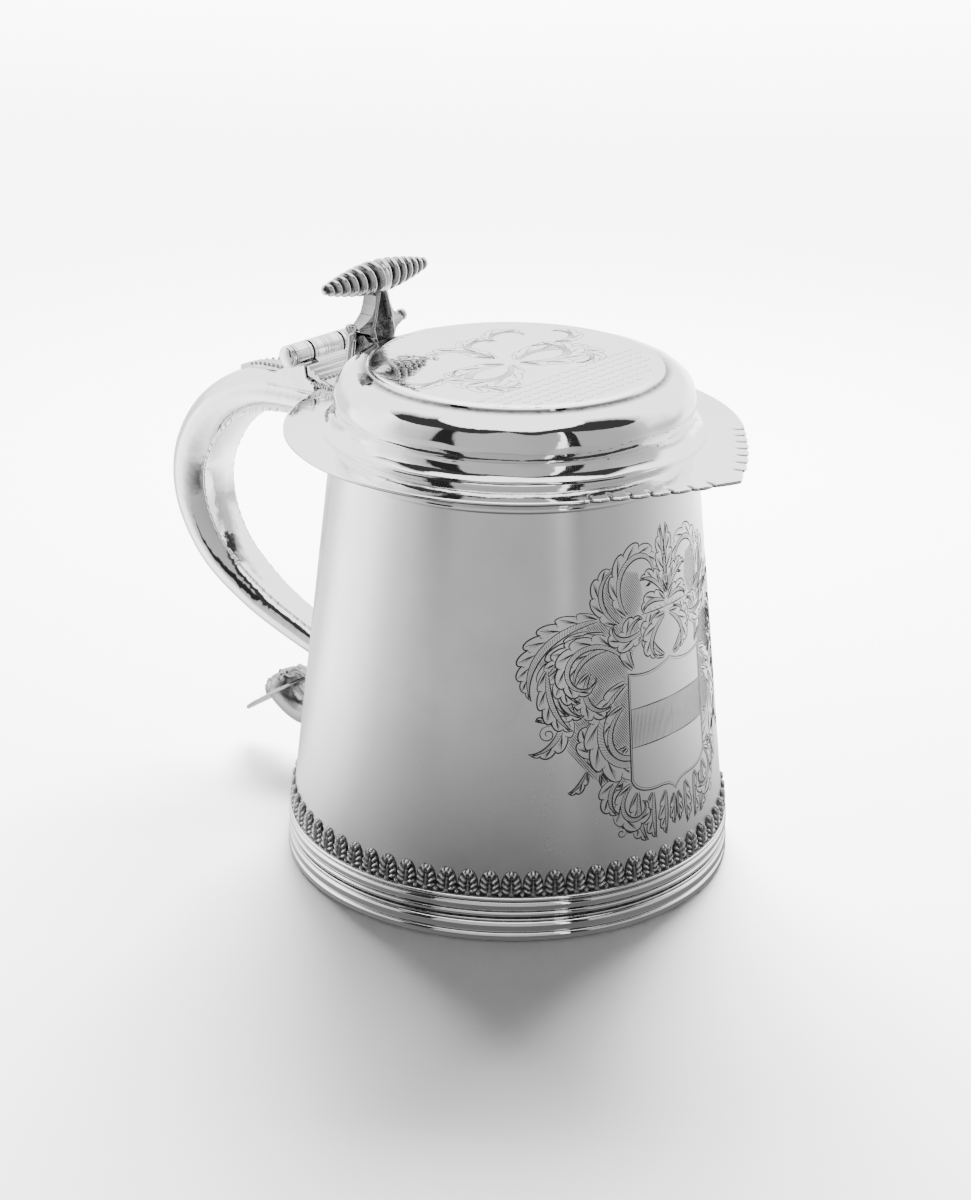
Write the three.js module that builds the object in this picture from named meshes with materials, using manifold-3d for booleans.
// Lidded tankard with a crenate-lipped flat cover, a corkscrew thumbpiece and a hollow scroll handle.
// Millimetres, +Z up. The origin is the centre of the underside, on the axis of the barrel.
// The front of the lid points along +X, the handle along -X, and the hinge pin lies along Y.

import * as THREE from 'three';
import { mergeVertices } from 'three/addons/utils/BufferGeometryUtils.js';
import Module from 'manifold-3d';

const wasm = await Module();
wasm.setup();

// ---------------------------------------------------------------- driving dimensions

const GAP = 0.3; // clearance between pieces that are soldered together or rest on each other
const WALL = 1.2; // sheet thickness of barrel and bottom
const SHEET = 1; // sheet thickness of lid, handle and small plates
const RING_STEPS = 60; // facets round the barrel and the lid

// Barrel: a straight cone that narrows upwards.
const CONE_FOOT_RADIUS = 70; // radius of the cone carried down to z = 0
const CONE_TAPER = 0.107; // loss of radius per mm of height
const BARREL_TOP = 137.7;
const FOOT_TOP = 12.9;
const FOOT_RADIUS = 70;
const FOOT_INNER_RADIUS = 68.5;
const LIP_BOTTOM = 131;
const LIP_RADIUS = 57.6;

// Stamped band of leaves above the foot moulding.
const LEAF_COUNT = 66;
const LEAF_BAND_BOTTOM = 14.6;
const LEAF_HEIGHT = 7.9;
const LEAF_NOTCH_HEIGHT = 2.6;
const LEAF_RELIEF = 1.1;
const STEPS_PER_LEAF = 2;

// Lid.
const FLANGE_BOTTOM = BARREL_TOP + GAP;
const FLANGE_TOP = FLANGE_BOTTOM + 1.1;
const FLANGE_RADIUS = 70;
const FLANGE_INNER_RADIUS = 52.2;
const LIP_REACH = 80.6; // tip of the crenate lip, from the axis
const LIP_TURN = 4; // degrees that the lip sits off the line of the handle
const LIP_HALF_ANGLE = 38; // degrees to each side of its middle
const CUSP_ANGLES = [6, 11, 16, 21, 26, 31, 36]; // degrees, the notches between scallops
const CUSP_DEPTH = 1.3;
const COVER_TOP = 158.7;
const TOP_DISC_RADIUS = 45;
const BULGE_RADIUS = 54.8;
const BULGE_HEIGHT = 149;
const BEZEL_RADIUS = 53.4;
const BEZEL_BOTTOM = 130.5;

// Hinge: three knuckles on a pin along Y.
const HINGE_X = -80.5;
const HINGE_Z = 147.3;
const KNUCKLE_RADIUS = 3.75;
const PIN_RADIUS = 1.1;
const CENTRE_KNUCKLE_HALF = 6.6;
const SIDE_KNUCKLE_START = 7.2;
const SIDE_KNUCKLE_END = 14.8;
const CAP_DEPTH = 1.8;
const HINGE_PLATE_HALF = 11.5;

// Hollow scroll handle: centre line, half-width and half-depth along it.
const HANDLE_LINE = [
  [-55, 131.4], [-84, 131.8], [-107, 128.3], [-125.2, 117], [-135.3, 100],
  [-135.3, 84], [-127, 68.5], [-109.5, 56], [-88, 47.5], [-64, 41],
];
const HANDLE_HALF_WIDTH = [12, 6.8]; // at the top, at the lower end
const HANDLE_HALF_DEPTH = [6.8, 8.6, 4.8]; // at the top, at the bow, at the lower end
const SEAM_ANGLE = 0.95; // radians, how far the shell wraps past its widest point
const SHELL_STEPS = 9;
const HANDLE_STATIONS = 30;
const DROP_START = 0.175; // along the centre line, behind the hinge seat
const DROP_END = 0.3;

// Turned-out tail of the handle and its shield-shaped terminal.
const TAIL_LINE = [[-72.5, 38], [-74, 29], [-79, 21.8], [-87.5, 19.2], [-96, 23], [-101, 29]];
const TAIL_HALF_WIDTH = [6.2, 7.6];
const TAIL_HALF_DEPTH = [3.4, 7.4];
const TERMINAL_CENTRE = [-102.4, 20.5];
const TERMINAL_SLOPE = 0.61; // radians below the horizontal, falling away from the barrel
const TERMINAL_HALF_WIDTH = 11.5;
const TERMINAL_LENGTH = 34;
const MASK_LENGTH = 19;
const MASK_WIDTH = 16;
const MASK_HEIGHT = 7;
const MASK_SHIFT = 7; // from the middle of the shield towards the barrel

// Corkscrew thumbpiece and its bracket.
const THUMB_X = -56.9;
const CORKSCREW_Z = 174.9;
const CORKSCREW_HALF = 23.5;
const CORKSCREW_RADIUS = 5.1;
const CORKSCREW_TIP_RADIUS = 1.5;
const CORKSCREW_TURNS = 8;
const VOLUTE_Y = 11.6;
const VOLUTE_Z = 160.2;
const VOLUTE_RADIUS = 1.9;

// ---------------------------------------------------------------- finishes

const polishedSilver = { color: 0xd2d3d4, roughness: 0.16, metalness: 1 };
const castSilver = { color: 0xbfc0c2, roughness: 0.3, metalness: 1 };
const insideSilver = { color: 0xaeb0b2, roughness: 0.42, metalness: 1 };

// ---------------------------------------------------------------- shared helpers

const degrees = THREE.MathUtils.degToRad;
const lerp = THREE.MathUtils.lerp;
const smoothstep = THREE.MathUtils.smoothstep;

const tankard = new THREE.Group();

function addPiece(name, geometry, finish) {
  const mesh = new THREE.Mesh(geometry, new THREE.MeshStandardMaterial(finish));
  mesh.name = name;
  tankard.add(mesh);
  return mesh;
}

// Keeps only positions and shared vertices, so that a mesh is one watertight skin.
function weld(geometry) {
  const bare = geometry.index ? geometry.toNonIndexed() : geometry.clone();
  bare.deleteAttribute('normal');
  bare.deleteAttribute('uv');
  return mergeVertices(bare, 1e-3);
}

function signedVolume(geometry) {
  const p = geometry.getAttribute('position');
  const index = geometry.getIndex();
  const corner = [new THREE.Vector3(), new THREE.Vector3(), new THREE.Vector3()];
  let volume = 0;
  for (let i = 0; i < index.count; i += 3) {
    corner.forEach((c, k) => c.fromBufferAttribute(p, index.getX(i + k)));
    volume += corner[0].dot(corner[1].cross(corner[2])) / 6;
  }
  return volume;
}

// Turns a skin the right way out.
function faceOut(geometry) {
  const skin = weld(geometry);
  if (signedVolume(skin) < 0) {
    const index = skin.getIndex();
    for (let i = 0; i < index.count; i += 3) {
      const first = index.getX(i);
      index.setX(i, index.getX(i + 1));
      index.setX(i + 1, first);
    }
  }
  return skin;
}

// Ring or turned piece about Z from [radius, z] points. A closed ring repeats its first point.
function turned(points, steps = RING_STEPS) {
  const profile = points.map(([r, z]) => new THREE.Vector2(r, z));
  return faceOut(new THREE.LatheGeometry(profile, steps).rotateX(Math.PI / 2));
}

function turnedRing(points, steps = RING_STEPS) {
  return turned([...points, points[0]], steps);
}

// The same, about an axis parallel to Y through (x, z). Points are [radius, y].
function turnedAlongY(points, x, z, steps, closed = true) {
  const list = closed ? [...points, points[0]] : points;
  const profile = list.map(([r, y]) => new THREE.Vector2(r, y));
  return faceOut(new THREE.LatheGeometry(profile, steps).translate(x, 0, z));
}

// Plate with the outline [x, z] in the middle plane, of a thickness along Y.
function plateAlongY(outline, fromY, toY) {
  const shape = new THREE.Shape(outline.map(([x, z]) => new THREE.Vector2(x, z)));
  const plate = new THREE.ExtrudeGeometry(shape, { depth: toY - fromY, bevelEnabled: false });
  return faceOut(plate.rotateX(Math.PI / 2).translate(0, toY, 0));
}

// Skin through rings of equal count, closed with a flat cap at both ends.
function loft(rings) {
  const count = rings[0].length;
  const positions = rings.flat().flatMap((p) => [p.x, p.y, p.z]);
  const index = [];
  for (let i = 0; i < rings.length - 1; i += 1) {
    for (let j = 0; j < count; j += 1) {
      const a = i * count + j;
      const b = i * count + (j + 1) % count;
      index.push(a, b, b + count, a, b + count, a + count);
    }
  }
  const last = (rings.length - 1) * count;
  for (const [a, b, c] of capTriangles(rings[0])) {
    index.push(c, b, a);
  }
  for (const [a, b, c] of capTriangles(rings[rings.length - 1])) {
    index.push(last + a, last + b, last + c);
  }
  const skin = new THREE.BufferGeometry();
  skin.setAttribute('position', new THREE.Float32BufferAttribute(positions, 3));
  skin.setIndex(index);
  return faceOut(skin);
}

// Triangles of a flat ring, in the order of its own points.
function capTriangles(ring) {
  const across = new THREE.Vector3().subVectors(ring[1], ring[0]).normalize();
  const normal = new THREE.Vector3();
  for (let j = 0; j < ring.length; j += 1) {
    normal.add(new THREE.Vector3().crossVectors(ring[j], ring[(j + 1) % ring.length]));
  }
  const upward = new THREE.Vector3().crossVectors(normal.normalize(), across).normalize();
  const flat = ring.map((p) => new THREE.Vector2(p.dot(across), p.dot(upward)));
  return THREE.ShapeUtils.triangulateShape(flat, []);
}

function toSolid(geometry) {
  const skin = weld(geometry);
  return new wasm.Manifold(new wasm.Mesh({
    numProp: 3,
    vertProperties: new Float32Array(skin.getAttribute('position').array),
    triVerts: new Uint32Array(skin.getIndex().array),
  }));
}

function toGeometry(solid) {
  const mesh = solid.getMesh();
  const geometry = new THREE.BufferGeometry();
  geometry.setAttribute('position', new THREE.Float32BufferAttribute(mesh.vertProperties, 3));
  geometry.setIndex(Array.from(mesh.triVerts));
  return geometry;
}

function cut(geometry, ...tools) {
  return toGeometry(tools.reduce((solid, tool) => solid.subtract(toSolid(tool)), toSolid(geometry)));
}

function join(geometry, ...others) {
  return toGeometry(others.reduce((solid, other) => solid.add(toSolid(other)), toSolid(geometry)));
}

function block(minX, maxX, minY, maxY, minZ, maxZ) {
  const box = new THREE.BoxGeometry(maxX - minX, maxY - minY, maxZ - minZ);
  return box.translate((minX + maxX) / 2, (minY + maxY) / 2, (minZ + maxZ) / 2);
}

// Points of an arc, from and to in degrees, counter-clockwise when the span is positive.
function arc(centreR, centreZ, radiusR, radiusZ, from, to, steps) {
  return Array.from({ length: steps + 1 }, (_, i) => {
    const angle = degrees(lerp(from, to, i / steps));
    return [centreR + radiusR * Math.cos(angle), centreZ + radiusZ * Math.sin(angle)];
  });
}

const coneRadius = (z) => CONE_FOOT_RADIUS - CONE_TAPER * z;

// The barrel's outer cone grown by a clearance, to trim what is soldered onto it.
function barrelTrimmer(clearance) {
  return turned([
    [0, -5],
    [coneRadius(0) + clearance, -5],
    [coneRadius(0) + clearance, 0],
    [coneRadius(BARREL_TOP) + clearance, BARREL_TOP],
    [0, BARREL_TOP],
  ]);
}

// ---------------------------------------------------------------- barrel

function barrelWall() {
  const straightRadius = FOOT_INNER_RADIUS - GAP;
  return turnedRing([
    [straightRadius, 0.2],
    [straightRadius, FOOT_TOP],
    [coneRadius(LEAF_BAND_BOTTOM), LEAF_BAND_BOTTOM],
    [coneRadius(BARREL_TOP), BARREL_TOP],
    [coneRadius(BARREL_TOP) - WALL, BARREL_TOP],
    [straightRadius - WALL, FOOT_TOP],
    [straightRadius - WALL, 0.2],
  ]);
}

function barrelBottom() {
  const radius = FOOT_INNER_RADIUS - GAP - WALL - GAP;
  return turned([[0, 0], [radius, 0], [radius, WALL], [0, WALL]]);
}

// Reeded foot: one broad and several narrow reeds, stacked from the floor up.
function footMoulding() {
  const reeds = [[0, 2], [2, 4.6], [4.6, 8.6], [8.6, FOOT_TOP]];
  const outer = reeds.flatMap(([low, high]) => [
    [FOOT_RADIUS - 0.6, low],
    [FOOT_RADIUS - 0.1, lerp(low, high, 0.5)],
  ]);
  outer[0] = [FOOT_RADIUS, 0];
  return turnedRing([
    [FOOT_INNER_RADIUS, 0],
    ...outer,
    [FOOT_RADIUS - 0.6, FOOT_TOP],
    [FOOT_INNER_RADIUS, FOOT_TOP],
  ]);
}

function footWire() {
  const z = LEAF_BAND_BOTTOM - 0.9;
  const inner = coneRadius(z) + GAP;
  return turnedRing([
    [inner, z - 0.5], [inner + 0.9, z - 0.3], [inner + 1, z + 0.2], [inner + 0.7, z + 0.55], [inner, z + 0.6],
  ]);
}

// Ring of upright leaves: its upper edge rises to a round tip on each leaf.
function leafBand() {
  const rings = [];
  const steps = LEAF_COUNT * STEPS_PER_LEAF;
  for (let i = 0; i < steps; i += 1) {
    const turn = (2 * Math.PI * i) / steps;
    const across = Math.abs(Math.cos((Math.PI * i) / STEPS_PER_LEAF));
    const top = LEAF_BAND_BOTTOM + lerp(LEAF_NOTCH_HEIGHT, LEAF_HEIGHT, across);
    const section = [
      [coneRadius(LEAF_BAND_BOTTOM) + GAP, LEAF_BAND_BOTTOM],
      [coneRadius(LEAF_BAND_BOTTOM) + GAP + LEAF_RELIEF, LEAF_BAND_BOTTOM],
      [coneRadius(top) + GAP + lerp(0.4, 0.8, across), top],
      [coneRadius(top) + GAP, top],
    ];
    rings.push(section.map(([r, z]) => new THREE.Vector3(r * Math.cos(turn), r * Math.sin(turn), z)));
  }
  return closedLoft(rings);
}

// Skin through rings that come back to the first one.
function closedLoft(rings) {
  const count = rings[0].length;
  const total = rings.length * count;
  const index = [];
  for (let i = 0; i < rings.length; i += 1) {
    for (let j = 0; j < count; j += 1) {
      const a = i * count + j;
      const b = i * count + (j + 1) % count;
      index.push(a, b, (b + count) % total, a, (b + count) % total, (a + count) % total);
    }
  }
  const skin = new THREE.BufferGeometry();
  const positions = rings.flat().flatMap((p) => [p.x, p.y, p.z]);
  skin.setAttribute('position', new THREE.Float32BufferAttribute(positions, 3));
  skin.setIndex(index);
  return faceOut(skin);
}

function lipMoulding() {
  const reeds = [[LIP_BOTTOM, 133.2], [133.2, 135.6], [135.6, BARREL_TOP]];
  const outer = reeds.flatMap(([low, high]) => [
    [LIP_RADIUS - 0.6, low],
    [LIP_RADIUS, lerp(low, high, 0.5)],
  ]);
  return turnedRing([
    [coneRadius(LIP_BOTTOM) + GAP, LIP_BOTTOM],
    ...outer,
    [LIP_RADIUS - 0.6, BARREL_TOP],
    [coneRadius(BARREL_TOP) + GAP, BARREL_TOP],
  ]);
}

addPiece('barrel_wall', barrelWall(), polishedSilver);
addPiece('barrel_bottom', barrelBottom(), insideSilver);
addPiece('foot_moulding', footMoulding(), polishedSilver);
addPiece('foot_wire', footWire(), polishedSilver);
addPiece('leaf_band', leafBand(), castSilver);
addPiece('lip_moulding', lipMoulding(), polishedSilver);

// ---------------------------------------------------------------- handle

function spine(points) {
  return new THREE.CatmullRomCurve3(points.map(([x, z]) => new THREE.Vector3(x, 0, z)), false, 'centripetal');
}

// A place on a curve in the middle plane: its point and the direction to its outer side.
function station(curve, t) {
  const point = curve.getPointAt(t);
  const tangent = curve.getTangentAt(t);
  return { point, outward: new THREE.Vector3(-tangent.z, 0, tangent.x).multiplyScalar(-1) };
}

// Puts a section of [across, outward] points at a station.
function sectionAt({ point, outward }, section) {
  return section.map(([w, n]) => new THREE.Vector3(point.x + outward.x * n, w, point.z + outward.z * n));
}

const handleSpine = spine(HANDLE_LINE);

function handleHalfWidth(t) {
  return lerp(HANDLE_HALF_WIDTH[0], HANDLE_HALF_WIDTH[1], smoothstep(t, 0.4, 1));
}

function handleHalfDepth(t) {
  const [top, bow, end] = HANDLE_HALF_DEPTH;
  return t < 0.45 ? lerp(top, bow, smoothstep(t, 0.1, 0.45)) : lerp(bow, end, smoothstep(t, 0.45, 1));
}

// C-shaped section of the outer shell, open towards the strap.
function shellSection(a, b) {
  const outer = [];
  const inner = [];
  for (let i = 0; i <= SHELL_STEPS; i += 1) {
    const angle = -SEAM_ANGLE + ((Math.PI + 2 * SEAM_ANGLE) * i) / SHELL_STEPS;
    outer.push([a * Math.cos(angle), b * Math.sin(angle)]);
    inner.push([(a - SHEET) * Math.cos(angle), (b - SHEET) * Math.sin(angle)]);
  }
  return [...outer, ...inner.reverse()];
}

// The strap that closes the shell on the side of the barrel, slightly crowned.
function strapSection(a, b) {
  const half = (a - SHEET) * Math.cos(SEAM_ANGLE) - 0.2;
  const level = -b * Math.sin(SEAM_ANGLE) - GAP;
  return [
    [half + 0.9, level], [half + 0.7, level - 0.7], [0, level - SHEET - 0.3],
    [-half - 0.7, level - 0.7], [-half - 0.9, level],
  ];
}

function handleLoft(section) {
  const rings = [];
  for (let i = 0; i <= HANDLE_STATIONS; i += 1) {
    const t = i / HANDLE_STATIONS;
    rings.push(sectionAt(station(handleSpine, t), section(handleHalfWidth(t), handleHalfDepth(t))));
  }
  return loft(rings);
}

// Room under the lid's flange, behind the lip moulding.
function flangeRoom() {
  return turned([
    [0, LIP_BOTTOM - GAP],
    [LIP_RADIUS + GAP, LIP_BOTTOM - GAP],
    [LIP_RADIUS + GAP, BARREL_TOP],
    [FLANGE_RADIUS + 1, BARREL_TOP],
    [FLANGE_RADIUS + 1, BARREL_TOP + 8],
    [0, BARREL_TOP + 8],
  ]);
}

addPiece('handle_shell', cut(handleLoft(shellSection), barrelTrimmer(GAP), flangeRoom()), polishedSilver);
addPiece('handle_strap', cut(handleLoft(strapSection), barrelTrimmer(GAP), flangeRoom()), polishedSilver);

// Pointed drop lying along the top of the handle behind the hinge.
function handleDrop() {
  const rings = [];
  for (let i = 0; i <= 8; i += 1) {
    const along = i / 8;
    const t = lerp(DROP_START, DROP_END, along);
    const top = handleHalfDepth(t) + GAP;
    const half = lerp(6.4, 0.5, along ** 1.4);
    rings.push(sectionAt(station(handleSpine, t), [
      [-half, top], [half, top], [half, top + 0.7], [0, top + 1.5], [-half, top + 0.7],
    ]));
  }
  return loft(rings);
}

addPiece('handle_drop', handleDrop(), castSilver);

function tail() {
  const curve = spine(TAIL_LINE);
  const rings = [];
  for (let i = 0; i <= 10; i += 1) {
    const t = i / 10;
    const a = lerp(TAIL_HALF_WIDTH[0], TAIL_HALF_WIDTH[1], t);
    const b = lerp(TAIL_HALF_DEPTH[0], TAIL_HALF_DEPTH[1], t);
    const section = arc(0, 0, a, b, 0, 330, 11);
    rings.push(sectionAt(station(curve, t), section));
  }
  return loft(rings);
}

// Moves a flat piece, drawn in its own x-y plane, onto the sloping face of the terminal.
function ontoTerminal(geometry, lift) {
  return geometry
    .translate(0, 0, lift)
    .rotateY(-TERMINAL_SLOPE)
    .translate(TERMINAL_CENTRE[0], 0, TERMINAL_CENTRE[1]);
}

// Shield outline: square shoulders towards the barrel, a point away from it.
function shieldOutline(halfWidth, length) {
  const shape = new THREE.Shape();
  shape.moveTo(length * 0.46, 0);
  shape.quadraticCurveTo(length * 0.36, halfWidth * 0.5, length * 0.42, halfWidth * 0.94);
  shape.quadraticCurveTo(length * 0.1, halfWidth * 1.02, -length * 0.1, halfWidth * 0.86);
  shape.quadraticCurveTo(-length * 0.36, halfWidth * 0.55, -length * 0.54, 0);
  shape.quadraticCurveTo(-length * 0.36, -halfWidth * 0.55, -length * 0.1, -halfWidth * 0.86);
  shape.quadraticCurveTo(length * 0.1, -halfWidth * 1.02, length * 0.42, -halfWidth * 0.94);
  shape.quadraticCurveTo(length * 0.36, -halfWidth * 0.5, length * 0.46, 0);
  return shape;
}

function terminalShield() {
  const shape = shieldOutline(TERMINAL_HALF_WIDTH, TERMINAL_LENGTH);
  const options = { depth: SHEET, bevelEnabled: false, curveSegments: 5 };
  return faceOut(ontoTerminal(new THREE.ExtrudeGeometry(shape, options), -SHEET / 2));
}

// Cast mask on the terminal, here its plain oval mass.
function terminalMask() {
  const dome = turned([[0, 0], ...arc(0, 0, 1, 1, 0, 90, 6).map(([r, z]) => [Math.max(r, 0), z])], 20);
  dome.scale(MASK_LENGTH / 2, MASK_WIDTH / 2, MASK_HEIGHT);
  return ontoTerminal(dome.translate(MASK_SHIFT, 0, 0), SHEET / 2 + GAP);
}

const handleMass = handleLoft((a, b) => arc(0, 0, a + GAP, b + GAP, 0, 345, 23));

// Everything above the underside of the terminal plate.
const aboveTerminal = ontoTerminal(block(-40, 40, -40, 40, 0, 40), -SHEET / 2 - GAP);

addPiece('handle_tail', cut(tail(), barrelTrimmer(GAP), handleMass, aboveTerminal), polishedSilver);
addPiece('terminal_shield', terminalShield(), polishedSilver);
addPiece('terminal_mask', terminalMask(), castSilver);

// ---------------------------------------------------------------- hinge, handle side

// Seat of the side knuckles: a block on top of the handle, behind and below the pin.
function hingeSeat() {
  const seat = plateAlongY([
    [-73.2, FLANGE_BOTTOM - 1.6], [-90, FLANGE_BOTTOM - 3], [-90, FLANGE_BOTTOM + 1.9], [-84.6, 142.6],
    [HINGE_X, HINGE_Z - KNUCKLE_RADIUS - GAP], [-77.2, 141.6], [-76.4, 140.1], [-73.2, FLANGE_TOP + GAP],
  ], -HINGE_PLATE_HALF, HINGE_PLATE_HALF);
  return cut(seat, handleMass);
}

function knuckle(fromY, toY) {
  const bore = PIN_RADIUS + GAP;
  return turnedAlongY([
    [bore, fromY], [KNUCKLE_RADIUS, fromY], [KNUCKLE_RADIUS, toY], [bore, toY],
  ], HINGE_X, HINGE_Z, 20);
}

// Domed button that closes the outer end of a side knuckle.
function endCap(side) {
  const face = SIDE_KNUCKLE_END + GAP;
  const dome = arc(0, face + 0.5, KNUCKLE_RADIUS, CAP_DEPTH - 0.5, 0, 90, 4);
  const profile = [[0, face], [KNUCKLE_RADIUS, face], ...dome];
  return turnedAlongY(profile.map(([r, y]) => [Math.max(r, 0), side * y]), HINGE_X, HINGE_Z, 20, false);
}

addPiece('hinge_seat', hingeSeat(), polishedSilver);
addPiece('hinge_knuckle_left', knuckle(-SIDE_KNUCKLE_END, -SIDE_KNUCKLE_START), polishedSilver);
addPiece('hinge_knuckle_right', knuckle(SIDE_KNUCKLE_START, SIDE_KNUCKLE_END), polishedSilver);
addPiece('hinge_cap_left', endCap(-1), polishedSilver);
addPiece('hinge_cap_right', endCap(1), polishedSilver);

function hingePin() {
  const end = SIDE_KNUCKLE_END;
  return turnedAlongY([[0, -end], [PIN_RADIUS, -end], [PIN_RADIUS, end], [0, end]], HINGE_X, HINGE_Z, 12, false);
}

addPiece('hinge_pin', hingePin(), insideSilver);

// ---------------------------------------------------------------- lid

// Distance of the flange's edge from the axis: round, with a scalloped lip at the front.
function flangeEdge(angle) {
  const away = Math.abs(angle);
  if (away >= LIP_HALF_ANGLE) {
    return FLANGE_RADIUS;
  }
  const swell = (1 - away / LIP_HALF_ANGLE) ** 2;
  const next = CUSP_ANGLES.findIndex((cusp) => away < cusp);
  const low = next > 0 ? CUSP_ANGLES[next - 1] : -CUSP_ANGLES[0];
  const high = next >= 0 ? CUSP_ANGLES[next] : LIP_HALF_ANGLE;
  const arch = Math.sqrt(Math.sin((Math.PI * (away - low)) / (high - low)));
  return FLANGE_RADIUS + (LIP_REACH - FLANGE_RADIUS) * swell - CUSP_DEPTH * (1 - arch);
}

function lidFlange() {
  const outline = [];
  for (let angle = LIP_HALF_ANGLE + 4; angle < 360 - LIP_HALF_ANGLE; angle += 4) {
    outline.push(angle);
  }
  for (let angle = -LIP_HALF_ANGLE; angle <= LIP_HALF_ANGLE; angle += 1) {
    outline.push(angle);
  }
  const edge = outline.map((angle) => {
    const reach = flangeEdge(angle > 180 ? angle - 360 : angle);
    const turn = degrees(angle + LIP_TURN);
    return new THREE.Vector2(reach * Math.cos(turn), reach * Math.sin(turn));
  });
  const shape = new THREE.Shape(edge);
  const hole = new THREE.Path();
  hole.absarc(0, 0, FLANGE_INNER_RADIUS, 0, 2 * Math.PI, true);
  shape.holes.push(hole);
  const options = { depth: FLANGE_TOP - FLANGE_BOTTOM, bevelEnabled: false, curveSegments: RING_STEPS / 2 };
  return faceOut(new THREE.ExtrudeGeometry(shape, options).translate(0, 0, FLANGE_BOTTOM));
}

// Raised cover: flat top, rounded bulging side, and a cove that spreads onto the flange.
function lidCover() {
  const shoulderRadius = BULGE_RADIUS - TOP_DISC_RADIUS - 1.4;
  const shoulder = arc(BULGE_RADIUS - shoulderRadius, BULGE_HEIGHT, shoulderRadius, 8.6, 84, -16, 6);
  const foot = FLANGE_TOP + GAP;
  const outer = [
    [0, COVER_TOP], [TOP_DISC_RADIUS, COVER_TOP], [TOP_DISC_RADIUS + 0.3, COVER_TOP - 0.7],
    ...shoulder,
    [54.1, 145.5], [54.2, 143.6], [55, 141.4], [56.6, 140], [58.4, foot + 0.3], [58.4, foot],
  ];
  const inner = [
    [53, foot], [53, 145], [BULGE_RADIUS - SHEET, BULGE_HEIGHT + 2],
    ...arc(BULGE_RADIUS - shoulderRadius, BULGE_HEIGHT, shoulderRadius - SHEET, 7.4, 10, 80, 4),
    [TOP_DISC_RADIUS - 1, COVER_TOP - SHEET], [0, COVER_TOP - SHEET],
  ];
  return turned([...outer, ...inner]);
}

function lidBezel() {
  return turnedRing([
    [BEZEL_RADIUS, BEZEL_BOTTOM], [BEZEL_RADIUS, FLANGE_BOTTOM - GAP],
    [BEZEL_RADIUS - SHEET, FLANGE_BOTTOM - GAP], [BEZEL_RADIUS - SHEET, BEZEL_BOTTOM],
  ]);
}

// Ridged plate from the centre knuckle down onto the flange.
function lidHingePlate() {
  const floor = FLANGE_TOP + GAP;
  const plate = plateAlongY([
    [-64.5, floor], [-70.6, floor], [-72.5, floor + 1.4], [-75.2, floor + 1.9],
    [-75.6, 144.4], [-75, 144.8], [-74.2, 144], [-73.3, 144.2], [-72.4, 143.2], [-71.2, 143.3],
    [-70, 142], [-68.6, 142], [-67.4, 140.9], [-65.2, 140.5],
  ], -HINGE_PLATE_HALF, HINGE_PLATE_HALF);
  const reach = KNUCKLE_RADIUS + GAP;
  const socket = arc(HINGE_X, HINGE_Z, reach, reach, -60, -20, 4);
  const tongue = plateAlongY([[-74.5, 144.2], ...socket.reverse(), [-76.6, 142.2], [-74.5, 141.6]],
    -CENTRE_KNUCKLE_HALF, CENTRE_KNUCKLE_HALF);
  return join(plate, tongue);
}

addPiece('lid_flange', lidFlange(), polishedSilver);
addPiece('lid_cover', lidCover(), polishedSilver);
addPiece('lid_bezel', lidBezel(), polishedSilver);
addPiece('lid_hinge_plate', lidHingePlate(), castSilver);
addPiece('lid_knuckle', knuckle(-CENTRE_KNUCKLE_HALF, CENTRE_KNUCKLE_HALF), polishedSilver);

// ---------------------------------------------------------------- thumbpiece

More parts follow.
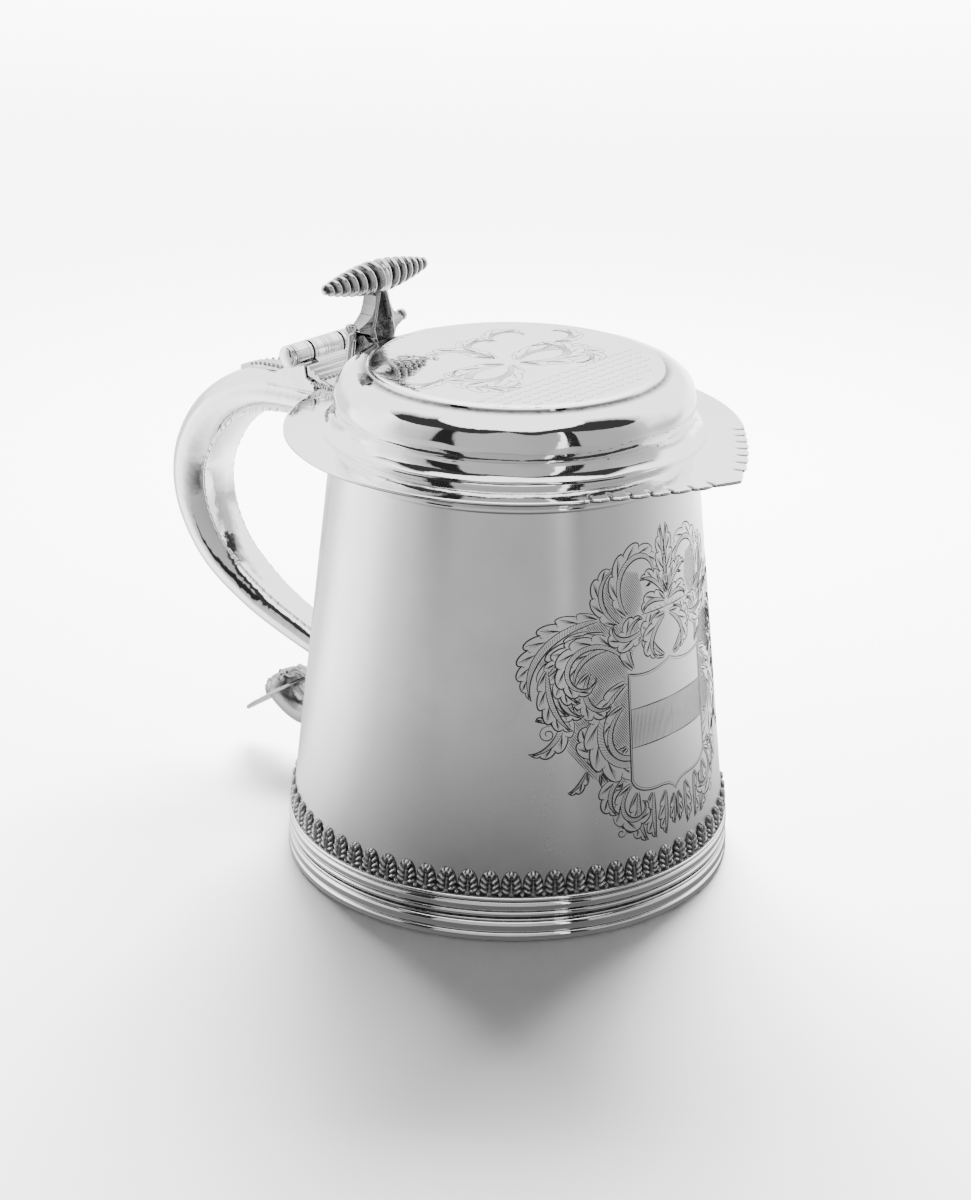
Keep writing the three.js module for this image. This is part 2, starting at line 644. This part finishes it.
// Half of the corkscrew: a tapering spindle with a ridge for each turn.
function corkscrewHalf(side) {
  const start = 1.2;
  const points = [[0, start]];
  for (let i = 0; i <= 2 * CORKSCREW_TURNS; i += 1) {
    const along = i / (2 * CORKSCREW_TURNS);
    const envelope = lerp(CORKSCREW_RADIUS, CORKSCREW_TIP_RADIUS, along ** 1.6);
    const groove = i % 2 === 0 ? 0.78 : 1;
    points.push([envelope * groove, lerp(start, CORKSCREW_HALF - 0.5, along)]);
  }
  points.push([0, CORKSCREW_HALF]);
  return turnedAlongY(points.map(([r, y]) => [r, side * y]), THUMB_X, CORKSCREW_Z, 14, false);
}

// Front web of the bracket, from the neck under the corkscrew to the foot on the lid's shoulder.
function bracketFront() {
  const rows = [
    // z, half-width, front x, back x
    [CORKSCREW_Z - CORKSCREW_RADIUS - GAP, 3.4, -53.6, -59.6],
    [166.5, 3.8, -54, -59.4],
    [162.6, 6, -53.6, -59],
    [160.2, 9.6, -53.8, -58.6],
    [158.6, 9.2, -53.6, -58.2],
    [157.2, 5.8, -53.2, -57.6],
    [154.4, 3.6, -53.6, -56.6],
  ];
  return loft(rows.map(([z, half, front, back]) => [
    new THREE.Vector3(front, -half, z), new THREE.Vector3(front, half, z),
    new THREE.Vector3(back, half, z), new THREE.Vector3(back, -half, z),
  ]));
}

// Curved back plate with a leg along each edge, standing on the hinge plate.
function bracketBack() {
  const rows = [
    // z, half-width, front x
    [159.4, 9.2, -60], [156, 10.2, -58.6], [150, 11, -59.2], [145.4, 11.2, -60.4], [FLANGE_TOP + GAP, 11.4, -62.6],
  ];
  return loft(rows.map(([z, half, x]) => [
    new THREE.Vector3(x + 1.1, -half, z), new THREE.Vector3(x + 1.1, -half + 1.8, z),
    new THREE.Vector3(x, -half + 2.2, z), new THREE.Vector3(x, half - 2.2, z),
    new THREE.Vector3(x + 1.1, half - 1.8, z), new THREE.Vector3(x + 1.1, half, z),
    new THREE.Vector3(x - 1.3, half, z), new THREE.Vector3(x - 1.3, -half, z),
  ]));
}

function volute(side) {
  return new THREE.SphereGeometry(VOLUTE_RADIUS, 10, 6).translate(THUMB_X, side * VOLUTE_Y, VOLUTE_Z);
}

addPiece('corkscrew_left', corkscrewHalf(-1), castSilver);
addPiece('corkscrew_right', corkscrewHalf(1), castSilver);
addPiece('bracket_front', bracketFront(), castSilver);
addPiece('bracket_back', bracketBack(), castSilver);
addPiece('volute_left', volute(-1), castSilver);
addPiece('volute_right', volute(1), castSilver);

export default tankard;
